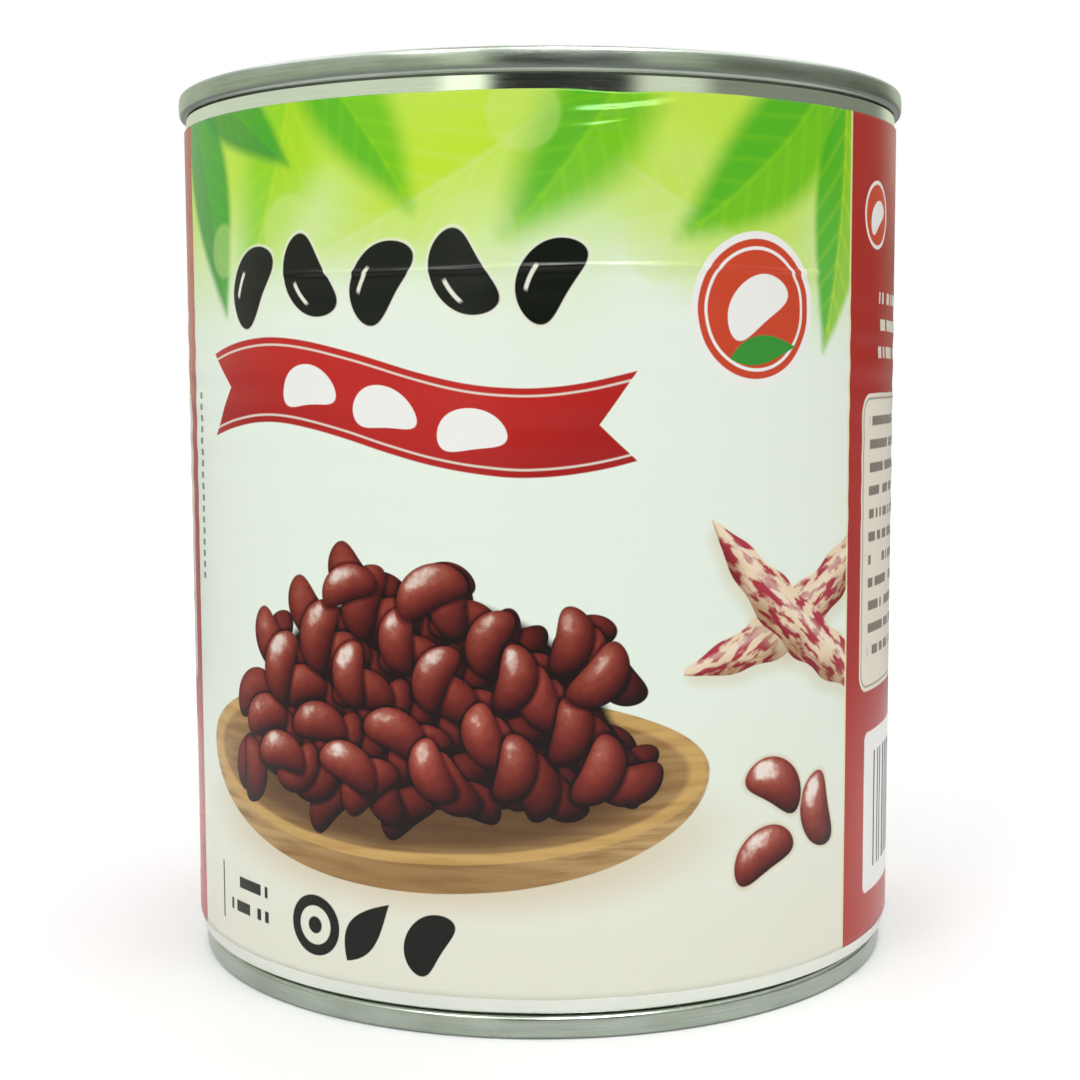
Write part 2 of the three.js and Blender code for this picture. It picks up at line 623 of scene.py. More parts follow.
@dataclass
class SeamedEnd:
    """A pressed end with its folded seam. Its profile's heights count down from the seam's crown."""

    place: EndPlace
    seam_radius: float
    can_height: float
    seam_height: float
    seam_thickness: float = 1.3
    seam_overhang: float = 0.95
    wall_thickness: float = 0.5
    crown_round: float = 0.55
    curl_round: float = 0.6
    seam_lean: float = 8.0
    seam_steps: int = 8
    end_depth: float = 7.2
    countersink_depth: float = 4.9
    countersink_width: float = 1.5
    chuck_wall_lean: float = 1.1
    panel_depth: float = 3.4
    panel_edge_round: float = 0.45
    panel_wall_lean: float = 0.6
    ridge_radii: tuple[float, ...] = (37.5, 32.0, 26.5)
    ridge_half_width: float = 1.7
    ridge_height: float = 0.75
    ridge_steps: int = 12
    centre_radius: float = 20.5
    centre_drop: float = 0.45
    centre_slope: float = 1.3
    centre_steps: int = 6
    steps: int = 320

    def _ridge(self, centre: float) -> list[Point]:
        """One pressed ridge of cosine section.

        Args:
            centre: the radius of its crest.

        Returns:
            Its points, from its outer foot to its inner foot.
        """
        sides = [1 - 2 * i / self.ridge_steps for i in range(self.ridge_steps + 1)]
        return [(centre + side * self.ridge_half_width,
                 0.5 * self.ridge_height * (1 + math.cos(math.pi * side)) - self.panel_depth)
                for side in sides]

    def _centre(self) -> list[Point]:
        """The slope down to the sunk middle of the panel, and its centre.

        Returns:
            Their points, from the outside inwards.
        """
        shares = [i / self.centre_steps for i in range(self.centre_steps + 1)]
        slope = [(self.centre_radius + self.centre_slope * (1 - share),
                  -self.panel_depth - self.centre_drop * 0.5 * (1 - math.cos(math.pi * share)))
                 for share in shares]
        return [*slope, *((self.centre_radius * share, -self.panel_depth - self.centre_drop)
                          for share in (0.6, 0.25, 0.0))]

    def _seam_face(self) -> list[Point]:
        """The seam's outer face, a little bulged, with the curl below it and the crown's round above it.

        Returns:
            Their points, from the curl up.
        """
        lean = math.radians(self.seam_lean)
        low = -self.seam_height + self.curl_round * (1 - math.sin(lean))
        high = -self.crown_round * (1 - math.sin(lean))
        bulge = math.tan(lean) * (high - low) / 4
        rim = self.seam_radius - bulge
        sides = [2 * i / self.seam_steps - 1 for i in range(1, self.seam_steps)]
        face = [(self.seam_radius - bulge * side ** 2, low + (high - low) * (side + 1) / 2) for side in sides]
        curl = arc((rim - self.curl_round * math.cos(lean), self.curl_round - self.seam_height),
                   self.curl_round, -90, -self.seam_lean, 8)
        crown = arc((rim - self.crown_round * math.cos(lean), -self.crown_round),
                    self.crown_round, self.seam_lean, 90, 7)
        return [*curl, *face, *crown]

    def profile(self) -> list[Point]:
        """The closed section, drawn for the top of the can.

        Returns:
            Its points, from the low end of the axis outwards and up.
        """
        plug = self.seam_radius - self.seam_overhang - self.wall_thickness
        inside = self.seam_radius - self.seam_thickness
        sink_round = self.countersink_width / 2
        sink_centre = inside - self.chuck_wall_lean - sink_round
        panel_edge = sink_centre - sink_round - self.panel_wall_lean
        return [
            (0.0, -self.end_depth), (plug, -self.end_depth), (plug, -self.seam_height),
            *self._seam_face(),
            *arc((inside + self.crown_round, -self.crown_round), self.crown_round, 90, 180, 7),
            *arc((sink_centre, sink_round - self.countersink_depth), sink_round, 0, -180, 14),
            *arc((panel_edge - self.panel_edge_round, -self.panel_depth - self.panel_edge_round),
                 self.panel_edge_round, 0, 90, 6),
            *[point for radius in self.ridge_radii for point in self._ridge(radius)],
            *self._centre(),
        ]

    def build(self, lathe: TurnedProfile, steel: bpy.types.Material) -> bpy.types.Object:
        """Makes the end at its place.

        Args:
            lathe: the tree that turns a profile.
            steel: its finish.

        Returns:
            The piece.
        """
        if self.place is EndPlace.TOP:
            profile = [(radius, self.can_height + height) for radius, height in self.profile()]
        else:
            profile = [(radius, -height) for radius, height in reversed(self.profile())]
        return lathe.turned(f"{self.place.value}_seamed_end", profile,
                            {"Steps": self.steps, "Material": steel})


# Printed label

@dataclass(frozen=True)
class LabelInks:
    """Linear colours of the label's print."""

    paper: Colour = (0.84, 0.84, 0.80)
    mint: Colour = (0.79, 0.87, 0.76)
    cream: Colour = (0.80, 0.80, 0.68)
    lime_wash: Colour = (0.52, 0.76, 0.07)
    black: Colour = (0.005, 0.007, 0.004)
    red: Colour = (0.50, 0.020, 0.016)
    red_shade: Colour = (0.36, 0.012, 0.010)
    side_red: Colour = (0.40, 0.020, 0.014)
    side_red_foot: Colour = (0.44, 0.030, 0.020)
    side_edge: Colour = (0.80, 0.78, 0.42)
    orange_red: Colour = (0.58, 0.060, 0.022)
    leaf_dark: Colour = (0.040, 0.280, 0.035)
    leaf_green: Colour = (0.045, 0.430, 0.006)
    leaf_bright: Colour = (0.230, 0.620, 0.003)
    leaf_lime: Colour = (0.500, 0.730, 0.015)
    leaf_pale: Colour = (0.620, 0.800, 0.250)
    wood: Colour = (0.54, 0.36, 0.150)
    wood_rim: Colour = (0.62, 0.38, 0.110)
    wood_dark: Colour = (0.27, 0.140, 0.045)
    wood_deep: Colour = (0.085, 0.040, 0.016)
    table_shade: Colour = (0.66, 0.56, 0.38)
    bean_brown: Colour = (0.62, 0.56, 0.50)
    bean_stops: tuple[tuple[float, Colour], ...] = (
        (0.00, (0.010, 0.003, 0.003)), (0.22, (0.024, 0.004, 0.004)), (0.45, (0.085, 0.008, 0.007)),
        (0.68, (0.185, 0.021, 0.014)), (0.84, (0.310, 0.052, 0.032)), (0.925, (0.420, 0.115, 0.080)),
        (0.965, (0.680, 0.410, 0.340)), (1.00, (0.920, 0.790, 0.730)))
    pod_cream: Colour = (0.82, 0.66, 0.46)
    pod_crimson: Colour = (0.42, 0.035, 0.060)
    pod_shade: Colour = (0.40, 0.22, 0.12)
    pod_shine: Colour = (0.95, 0.86, 0.74)
    box: Colour = (0.80, 0.74, 0.62)
    rule: Colour = (0.10, 0.07, 0.05)


class Edge(Enum):
    """How crisp a printed edge is, as half the width of its blur in millimetres."""

    CRISP = 0.08
    SOFT = 0.4


class Motifs:
    """Shader groups of the motifs that the print repeats.

    They pass plain numbers on, so that the print can be worked out one motif at a time.
    """

    light: Point = (-0.28, 0.52)
    bean_size: Point = (9.4, 5.3)
    bean_bend: float = 0.055
    heap_pitch: float = 10.9
    heap_jitter: float = 0.12
    pod_half_size: Point = (21.0, 3.5)

    def __init__(self, inks: LabelInks) -> None:
        """Builds the groups.

        Args:
            inks: the print's colours.
        """
        self.inks = inks
        self.bean = self._bean()
        self.bean_layer = self._bean_layer()
        self.bean_ink = self._bean_ink()
        self.leaf = self._leaf()
        self.pod = self._pod()

    def _bean(self) -> Group:
        """A kidney bean lit by one soft lamp, in its own millimetres with X along it.

        Returns:
            The group.
        """
        length, width = self.bean_size
        group = Group("Kidney bean", "X, Y, Light X, Light Y", "Light, Mask, Shadow")
        along = group.given("X") * (2 / length)
        square = along * along
        across = group.fused(square, self.bean_bend * length * length / (2 * width),
                             group.given("Y") * (2 / width))
        full = group.fused(square, 0.5, 0.5)
        reach = group.fused(across, across, square * full)
        height = group.math("SQRT", group.largest(1.0 - reach, 0.0))
        lit = group.fused(across, group.given("Light Y"), height * 0.81)
        group.gives("Light", group.fused(along, group.given("Light X"), lit))
        group.gives("Mask", group.ramp(reach, 1.05, 0.94))
        group.gives("Shadow", group.ramp(reach, 1.5, 0.95))
        return group

    def _bean_layer(self) -> Group:
        """One layer of a heap: scattered beans and their shadows, over what lies below them.

        Returns:
            The group, which gives how brightly beans are lit, how brown they are and where they lie.
        """
        pitch, jitter = self.heap_pitch, self.heap_jitter
        group = Group("Bean layer", "Light, Brown, Cover, X, Y, Shift X, Shift Y, Depth, Half Width, "
                      "Rise, Fall, Mottle", "Light, Brown, Cover")
        x, y = group.given("X"), group.given("Y")
        cell_x = group.fused(x, 1 / pitch, group.given("Shift X"))
        cell_y = group.fused(y, 1 / pitch, group.given("Shift Y"))
        column, row = group.math("FLOOR", cell_x), group.math("FLOOR", cell_y)
        first = group.chance(column, row, 1.3)
        second = group.math("FRACT", first * 91.7)
        third = group.math("FRACT", first * 37.3)
        fourth = group.math("FRACT", second * 53.1)
        apart = 0.5 - jitter / 2
        step_x = group.fused(second, -jitter, cell_x - column) - apart
        step_y = group.fused(third, -jitter, cell_y - row) - apart
        size = group.fused(fourth, 0.2 * pitch, 0.98 * pitch)
        offset_x, offset_y = step_x * size, step_y * size
        turn = first * math.tau
        cosine, sine = group.math("COSINE", turn), group.math("SINE", turn)
        light_x, light_y = self.light
        bean = self.bean.used(group, {
            "X": group.fused(offset_x, cosine, offset_y * sine),
            "Y": offset_y * cosine - offset_x * sine,
            "Light X": group.fused(cosine, light_x, sine * light_y),
            "Light Y": group.fused(cosine, light_y, sine * -light_x)})
        middle_x = group.fused(step_x, -pitch, x)
        middle_y = group.fused(step_y, -pitch, y)
        side = middle_x / group.given("Half Width")
        level = group.largest(middle_y / group.given("Rise"), middle_y * -1.0 / group.given("Fall"))
        keep = group.math("LESS_THAN", group.fused(side, side, level * level), 1.0)
        mask = group.out(bean, "Mask") * keep
        under = group.given("Light") - group.out(bean, "Shadow") * keep * 0.55
        lit = group.out(bean, "Light") + group.given("Mottle") - group.given("Depth")
        group.gives("Light", group.fused(lit - under, mask, under))
        brown = group.given("Brown")
        group.gives("Brown", group.fused(third - brown, mask, brown))
        group.gives("Cover", group.largest(group.given("Cover"), mask))
        return group

    def _bean_ink(self) -> Group:
        """The colour of a cooked bean's skin, from how brightly it is lit and how brown it is.

        Returns:
            The group.
        """
        group = Group("Bean skin", "Light, Brown", "Colour: Color")
        skin = group.stops(group.fused(group.given("Light"), 0.625, 0.375), self.inks.bean_stops)
        group.gives("Colour", group.blend(group.given("Brown") * 0.7, skin, self.inks.bean_brown, "MULTIPLY"))
        return group

    @staticmethod
    def _leaf() -> Group:
        """A pointed leaf from -1 to 1 along X, out of focus by its blur.

        Returns:
            The group.
        """
        group = Group("Leaf", "X, Y, Blur", "Mask, Shade")
        x = group.given("X")
        taper = group.fused(x * -1.0, x, 1.0)
        bent = group.fused(taper, -0.25, group.given("Y"))
        side = abs(bent)
        width = group.fused(x, -0.35, 1.0) * group.largest(taper, -0.6)
        open_width = group.math("MINIMUM", width, taper * 1.6)
        group.gives("Mask", group.ramp((open_width - side) / group.given("Blur"), -1.0, 1.0))
        veins = group.math("SINE", group.fused(x, 26.0, side * -11.0))
        shade = group.ramp(bent, -0.2, 0.2, 0.0, 0.45) + group.ramp(side, 0.10, 0.0, 0.0, 0.35)
        group.gives("Shade", shade + group.ramp(veins, 0.3, 1.0, 0.0, 0.16))
        return group

    def _pod(self) -> Group:
        """A closed, mottled bean pod, in its own millimetres with X along it.

        Returns:
            The group.
        """
        half_length, half_width = self.pod_half_size
        group = Group("Pod", "X, Y, Streak", "Colour: Color, Mask, Shadow")
        x = group.given("X")
        square = x * x
        bent = group.fused(square, -0.0075, group.given("Y"))
        swell = group.math("COSINE", x * 0.86)
        share = square / (half_length * half_length)
        taper = group.largest(1.0 - share * group.fused(share, 0.35, 0.65), 0.0)
        width = taper * group.fused(swell, 0.3, half_width)
        across = bent / group.largest(width, 0.05)
        group.gives("Mask", group.ramp(width - abs(bent), 0.02, 0.16))
        group.gives("Shadow", group.ramp(width - abs(bent + 1.0), -1.6, 0.8) * group.ramp(share, 1.02, 0.8))
        mottled = group.blend(group.ramp(group.given("Streak"), 0.46, 0.56), self.inks.pod_cream,
                              self.inks.pod_crimson)
        seam = group.ramp(abs(across + 0.62), 0.09, 0.02, 0.0, 0.7)
        shade = group.ramp(group.fused(swell, -0.18, across), 0.1, -1.0, 0.0, 0.8)
        shaded = group.blend(group.largest(seam, shade), mottled, self.inks.pod_shade, "MULTIPLY")
        shine = group.ramp(abs(across - 0.38), 0.3, 0.0, 0.0, 0.35)
        group.gives("Colour", group.blend(shine, shaded, self.inks.pod_shine))
        return group


@dataclass(frozen=True)
class LeafMark:
    """Where a leaf is printed, and how."""

    at: Point
    turn: float
    size: Point
    blur: float
    dark: Colour
    light: Colour
    strength: float


class Zone(Enum):
    """Parts of the strip. Each has a finish of its own, which works out only the motifs that reach it."""

    UPPER = "upper_print"
    PODS = "pods_print"
    HEAP = "heap_print"
    SIDE = "side_print"


class Canvas:
    """A sheet in print, in millimetres, with the colour that it has so far."""

    tree: Tree
    motifs: Motifs
    x: Field
    y: Field
    colour: object

    def paint(self, mask: Amount, ink: object) -> None:
        """Lays an ink over what is printed so far."""
        self.colour = self.tree.blend(mask, self.colour, ink)

    def local(self, at: Point, turn: float = 0.0, size: Point = (1.0, 1.0)) -> tuple[Field, Field]:
        """Coordinates of a motif's own.

        Args:
            at: the motif's middle on the sheet.
            turn: the angle of its X axis, in degrees.
            size: the length of its units on the sheet, along its X and Y axes.

        Returns:
            The motif's coordinates.
        """
        cosine, sine = math.cos(math.radians(turn)), math.sin(math.radians(turn))
        x, y = self.x - at[0], self.y - at[1]
        if turn == 0.0:
            return x / size[0], y / size[1]
        return (self.tree.fused(x, cosine / size[0], y * (sine / size[0])),
                self.tree.fused(x, -sine / size[1], y * (cosine / size[1])))

    def round(self, x: Field, y: Field) -> Field:
        """The distance from the middle."""
        return self.tree.math("SQRT", self.tree.fused(x, x, y * y))

    def disc(self, at: Point, radius: float, soft: float = Edge.CRISP.value) -> Field:
        """A round spot."""
        return self.tree.ramp(self.round(self.x - at[0], self.y - at[1]), radius + soft, radius - soft)

    def bar(self, left: float, right: float, low: float, high: float) -> Field:
        """An upright rectangle."""
        soft = Edge.CRISP.value
        return self.tree.between(self.x, left, right, soft) * self.tree.between(self.y, low, high, soft)

    def box(self, left: float, right: float, low: float, high: float, corner: float) -> Field:
        """A rectangle with round corners.

        Args:
            left: its left side.
            right: its right side.
            low: its foot.
            high: its top.
            corner: the radius of its corners.

        Returns:
            The mask.
        """
        tree, soft = self.tree, Edge.CRISP.value
        over_x = tree.largest(abs(self.x - (left + right) / 2) - ((right - left) / 2 - corner), 0.0)
        over_y = tree.largest(abs(self.y - (low + high) / 2) - ((high - low) / 2 - corner), 0.0)
        return tree.ramp(self.round(over_x, over_y), corner + soft, corner - soft)

    def bean_mark(self, x: Field, y: Field) -> Field:
        """The flat outline of a bean."""
        return self.tree.out(self.motifs.bean.used(self.tree, {"X": x, "Y": y}), "Mask")

    def leaf_mark(self, at: Point, turn: float, size: Point, blur: float) -> tuple[Field, Field]:
        """A leaf.

        Args:
            at: its middle on the sheet.
            turn: its angle, in degrees.
            size: half its length and its width.
            blur: how far out of focus it is.

        Returns:
            Its mask and its shade.
        """
        x, y = self.local(at, turn, size)
        leaf = self.motifs.leaf.used(self.tree, {"X": x, "Y": y, "Blur": blur})
        return self.tree.out(leaf, "Mask"), self.tree.out(leaf, "Shade")

    def row(self, value: Field, first: float, pitch: float, count: int) -> tuple[Field, Field]:
        """Repeats a motif in a row.

        Args:
            value: the coordinate along the row.
            first: where the first motif's middle is.
            pitch: the distance between motifs.
            count: how many there are.

        Returns:
            The motif's number, and the coordinate from its middle.
        """
        nearest = self.tree.math("ROUND", (value - first) / pitch)
        number = self.tree.math("MINIMUM", self.tree.largest(nearest, 0.0), count - 1.0)
        return number, value - first - number * pitch

    def rules(self, left: float, right: float, top: float, pitch: float, count: int, height: float,
              seed: float) -> Field:
        """Lines of short dashes of uneven length, with a ragged right-hand end.

        Args:
            left: where the lines start.
            right: where the longest ends.
            top: the middle of the first line.
            pitch: the distance between lines.
            count: how many there are.
            height: the thickness of a dash.
            seed: which draw of lengths is used.

        Returns:
            The mask.
        """
        tree = self.tree
        number, level = self.row(self.y * -1.0, -top, pitch, count)
        line = tree.ramp(height / 2 - abs(level), -0.1, 0.1)
        dash = tree.math("GREATER_THAN", tree.chance(tree.math("FLOOR", self.x * 1.15), number, seed), 0.2)
        end = right - tree.chance(number, 2.0, seed) * (right - left) * 0.22
        return line * dash * tree.ramp(self.x, left - 0.1, left + 0.1) * tree.ramp(end - self.x, -0.1, 0.1)


@dataclass
class LabelPrint(Canvas):
    """The label's print. X runs along the strip from the middle of a front panel, and Y up from the base."""

    inks: LabelInks
    motifs: Motifs
    print_radius: float
    panel_half_width: float = 52.5
    panel_middle: float = -7.0
    side_margin: float = 1.2
    upper_from: float = 66.0
    pods_from: float = 24.0
    dish_middle: Point = (-9.0, 32.5)
    rim_half_size: Point = (37.0, 11.0)
    hollow_half_size: Point = (34.6, 9.7)
    heap_layers: int = 9
    heap_half_width: float = 28.5
    heap_rise: float = 24.5
    heap_fall: float = 5.2
    pod_places: tuple[tuple[Point, float], ...] = (((43.5, 51.5), 28.0), ((43.0, 48.5), -36.0))
    bean_places: tuple[tuple[Point, float], ...] = (((36.0, 21.5), 24.0), ((45.5, 25.0), 105.0),
                                                    ((38.5, 30.0), -30.0))
    medallion_at: Point = (34.5, 88.5)
    medallion_radius: float = 8.4
    ribbon_middle: Point = (-12.5, 77.0)
    ribbon_half_size: Point = (31.0, 5.3)
    ribbon_notch: float = 4.6
    foot_ring_at: Point = (-23.5, 12.0)
    side_emblem_at: Point = (60.8, 101.2)

    def zone(self, along: float, up: float) -> Zone:
        """Which part of the strip a place lies in.

        Args:
            along: the place along the strip, in millimetres.
            up: its height above the can's base.

        Returns:
            The zone.
        """
        repeat = math.pi * self.print_radius
        x = (along - self.panel_middle + self.panel_half_width) % repeat - self.panel_half_width
        if self.panel_half_width + self.side_margin < x < repeat - self.panel_half_width - self.side_margin:
            return Zone.SIDE
        if up > self.upper_from:
            return Zone.UPPER
        return Zone.PODS if x > self.pods_from else Zone.HEAP

    def printed(self, tree: Tree, sheet: Field, zone: Zone) -> Field:
        """Prints one zone of the label.

        Args:
            tree: the label material's nodes.
            sheet: the label's own coordinates, in metres along and up the strip.
            zone: the part that is printed.

        Returns:
            The printed colour.
        """
        self.tree = tree
        along, up, _ = tree.split(sheet)
        self.y = up / MM
        self.x = tree.math("WRAP", along / MM - self.panel_middle,
                           math.pi * self.print_radius - self.panel_half_width, -self.panel_half_width)
        self._draw_textures(zone)
        self._ground()
        layers = {
            Zone.UPPER: (self._foliage, self._medallion, self._headline, self._ribbon, self._dots,
                         self._side_ground),
            Zone.PODS: (self._dish, self._pods, self._loose_beans, self._side_ground),
            Zone.HEAP: (self._dish, self._heap, self._foot_marks, self._dots, self._side_ground),
            Zone.SIDE: (self._side_ground, self._side_panel),
        }
        for layer in layers[zone]:
            layer()
        return self.colour

    def _draw_textures(self, zone: Zone) -> None:
        """Draws the noises that the motifs share, before the first motif.

        Args:
            zone: the part that is printed.
        """
        tree = self.tree
        self.cloud = tree.noise(tree.join(self.x, self.y), 0.035, 2.0)
        if zone in (Zone.PODS, Zone.HEAP):
            mottle = tree.noise(tree.join(self.x, self.y, 5.0), 0.8, 2.0)
            self.mottle = tree.fused(mottle, 0.24, -0.13)
            self.fibre = tree.noise(tree.join(self.x * 0.10, self.y * 0.9), 1.0, 3.0)
        if zone is Zone.PODS:
            places = [self.local(at, turn) for at, turn in self.pod_places]
            self.streaks = [tree.noise(tree.join(x * 0.28, y * 0.95, i * 9.0), 1.0, 4.0)
                            for i, (x, y) in enumerate(places)]

    def _ground(self) -> None:
        """The pale ground, from lime at the top through mint to cream at the foot."""
        tree, inks = self.tree, self.inks
        self.colour = tree.blend(tree.ramp(self.y + self.cloud * 12.0, 14.0, 50.0), inks.cream, inks.mint)
        self.paint(tree.ramp(self.y + (self.cloud - 0.5) * 26.0, 84.0, 109.0), inks.lime_wash)

    def _foliage(self) -> None:
        """Leaves hanging into the top of the panel, more or less out of focus, and light spots."""
        inks = self.inks
        for mark in (
            LeafMark((-8.0, 103.0), 208, (19, 6.5), 0.75, inks.leaf_lime, inks.leaf_pale, 0.7),
            LeafMark((27.0, 101.0), 152, (18, 6.5), 0.8, inks.leaf_lime, inks.leaf_pale, 0.7),
            LeafMark((-30.0, 105.0), 250, (16, 6.0), 0.55, inks.leaf_bright, inks.leaf_lime, 0.8),
            LeafMark((11.0, 109.0), 236, (15, 6.0), 0.5, inks.leaf_green, inks.leaf_bright, 0.85),
            LeafMark((-17.0, 111.0), 308, (14, 5.0), 0.4, inks.leaf_green, inks.leaf_bright, 0.85),
            LeafMark((36.0, 108.0), 222, (17, 6.5), 0.3, inks.leaf_green, inks.leaf_bright, 0.9),
            LeafMark((-46.0, 104.0), 292, (17, 6.0), 0.16, inks.leaf_dark, inks.leaf_green, 0.95),
            LeafMark((48.5, 100.0), 262, (17, 5.6), 0.14, inks.leaf_green, inks.leaf_lime, 0.9),
            LeafMark((-38.0, 113.0), 330, (14, 4.6), 0.2, inks.leaf_dark, inks.leaf_green, 0.9),
        ):
            mask, shade = self.leaf_mark(mark.at, mark.turn, mark.size, mark.blur)
            self.paint(mask * mark.strength, self.tree.blend(shade, mark.dark, mark.light))
        for at, radius, strength in (
            ((-26.0, 98.0), 4.6, 0.4), ((-1.0, 97.0), 5.2, 0.3), ((21.0, 95.5), 4.0, 0.3),
            ((5.0, 111.0), 4.4, 0.28), ((-40.0, 96.5), 3.4, 0.35), ((41.0, 93.0), 3.8, 0.3),
        ):
            self.paint(self.disc(at, radius, Edge.SOFT.value) * strength, inks.leaf_pale)

    def _dish(self) -> None:
        """A shallow round wooden dish on a table, seen from a little above, with the heap's shade in it."""
        tree, inks = self.tree, self.inks
        x, y = self.local(self.dish_middle)
        (rim_x, rim_y), (hollow_x, hollow_y) = self.rim_half_size, self.hollow_half_size
        shadow = self.round((x - 1.0) / 43.0, (y + 7.5) / 11.0)
        self.paint(tree.ramp(shadow, 1.05, 0.55) * 0.75, inks.table_shade)
        grain = tree.blend(tree.ramp(self.fibre, 0.25, 0.62), inks.wood_dark, inks.wood)
        outer = self.round(x / rim_x, tree.largest(y / rim_y, y * -1.0 / 14.5))
        side = tree.blend(tree.ramp(y + abs(x) * 0.2, -2.0, -12.0) * 0.75, grain, inks.wood_dark)
        self.paint(tree.ramp(outer, 1.005, 0.995), side)
        rim = tree.blend(0.6, grain, inks.wood_rim)
        self.paint(tree.ramp(self.round(x / rim_x, y / rim_y), 1.0, 0.985), rim)
        hollow = tree.blend(tree.ramp(self.fibre, 0.3, 0.7, 0.0, 0.45), inks.wood_dark, inks.wood)
        shade = tree.ramp(self.round(x / 33.0, (y + 1.2) / 9.2), 1.02, 0.72, 0.0, 0.85)
        hollow = tree.blend(shade, hollow, inks.wood_deep)
        self.paint(tree.ramp(self.round(x / hollow_x, y / hollow_y), 1.01, 0.97), hollow)

    def _heap(self) -> None:
        """A heap of glossy cooked beans in the dish."""
        tree = self.tree
        x, y = self.local(self.dish_middle)
        level = tree.largest(y / (self.heap_rise * 0.91), y * -1.0 / (self.heap_fall * 0.8))
        light, brown = -0.6, 0.5
        cover = tree.ramp(self.round(x / (self.heap_half_width * 0.9), level), 1.03, 0.97)
        for i in range(self.heap_layers):
            layer = self.motifs.bean_layer.used(tree, {
                "Light": light, "Brown": brown, "Cover": cover, "X": x, "Y": y,
                "Shift X": 8.37 + 0.618 * i, "Shift Y": 8.11 + 0.414 * i,
                "Depth": 0.48 * (1 - i / (self.heap_layers - 1)), "Half Width": self.heap_half_width,
                "Rise": self.heap_rise, "Fall": self.heap_fall, "Mottle": self.mottle})
            light, brown, cover = (tree.out(layer, name) for name in ("Light", "Brown", "Cover"))
        dim = tree.ramp(x * 0.5 - y, -26.0, 30.0, 0.0, 0.22)
        skin = self.motifs.bean_ink.used(tree, {"Light": light - dim, "Brown": brown})
        self.paint(cover, tree.out(skin))

    def _pods(self) -> None:
        """Two closed pods, one across the other."""
        for (at, turn), streak in zip(self.pod_places, self.streaks):
            x, y = self.local(at, turn)
            pod = self.motifs.pod.used(self.tree, {"X": x, "Y": y, "Streak": streak})
            self.paint(self.tree.out(pod, "Shadow") * 0.45, self.inks.table_shade)
            self.paint(self.tree.out(pod, "Mask"), self.tree.out(pod, "Colour"))

    def _loose_beans(self) -> None:
        """A few beans beside the dish."""
        tree = self.tree
        light_x, light_y = self.motifs.light
        for at, turn in self.bean_places:
            x, y = self.local(at, turn, (1.08, 1.08))
            cosine, sine = math.cos(math.radians(turn)), math.sin(math.radians(turn))
            bean = self.motifs.bean.used(tree, {
                "X": x, "Y": y, "Light X": cosine * light_x + sine * light_y,
                "Light Y": cosine * light_y - sine * light_x})
            lit = tree.out(bean, "Light") + self.mottle
            skin = self.motifs.bean_ink.used(tree, {"Light": lit, "Brown": 0.2})
            self.paint(tree.out(bean, "Shadow") * 0.6, self.inks.table_shade)
            self.paint(tree.out(bean, "Mask"), tree.out(skin))

    def _medallion(self) -> None:
        """A round emblem with a bean and a small leaf."""
        inks, at, radius = self.inks, self.medallion_at, self.medallion_radius
        self.paint(self.disc(at, radius + 0.9), inks.paper)
        self.paint(self.disc(at, radius), inks.orange_red)
        self.paint(self.disc(at, radius - 0.9) - self.disc(at, radius - 1.3), inks.paper)
        self.paint(self.bean_mark(*self.local((at[0] - 0.3, at[1] + 0.9), 35.0, (1.08, 1.08))), inks.paper)
        self.paint(self.leaf_mark((at[0] + 1.2, at[1] - 5.2), 8.0, (5.2, 1.7), 0.05)[0], inks.leaf_dark)

    def _headline(self) -> None:
        """A row of dark bean marks in the place of a headline."""
        tree, inks = self.tree, self.inks
        number, step = self.row(self.x, -34.0, 10.4, 5)
        level = self.y - 92.2
        lean = tree.math("PINGPONG", number, 1.0) * 1.1 + 1.02
        cosine, sine = tree.math("COSINE", lean), tree.math("SINE", lean)
        x, y = step * cosine + level * sine, level * cosine - step * sine
        self.paint(self.bean_mark(x / 1.24, y / 1.32) * 0.7, inks.cream)
        self.paint(self.bean_mark(x / 1.16, y / 1.2), inks.black)
        glint = tree.between(y + x * x * 0.06, 1.35, 1.85, 0.1) * tree.between(x, -2.6, 0.6, 0.3)
        self.paint(glint, inks.cream)

    def _ribbon(self) -> None:
        """A waving red ribbon with forked ends, fine lines along its edges and three bean marks."""
        tree, inks = self.tree, self.inks
        half_length, half_height = self.ribbon_half_size
        x = self.x - self.ribbon_middle[0]
        swing = x * (1.75 * math.pi / (2 * half_length))
        y = self.y - self.ribbon_middle[1] + tree.math("SINE", swing) * 3.1
        side = abs(y / half_height)
        end = half_length - self.ribbon_notch * (1.0 - side)
        mask = tree.ramp(half_height - abs(y), -0.1, 0.1) * tree.ramp(end - abs(x), -0.1, 0.1)
        fold = y / half_height * 0.5 + tree.math("COSINE", swing) * 0.5
        ink = tree.blend(tree.ramp(fold, -0.9, 0.7), inks.red_shade, inks.red)
        ink = tree.blend(tree.between(side, 0.80, 0.85, 0.02) * 0.85, ink, inks.cream)
        _, step = self.row(x, -11.0, 11.0, 3)
        cosine, sine = math.cos(math.radians(14)) / 0.92, math.sin(math.radians(14)) / 0.92
        bean = self.bean_mark(step * cosine + y * sine, y * cosine - step * sine)
        self.paint(mask, tree.blend(bean, ink, inks.paper))

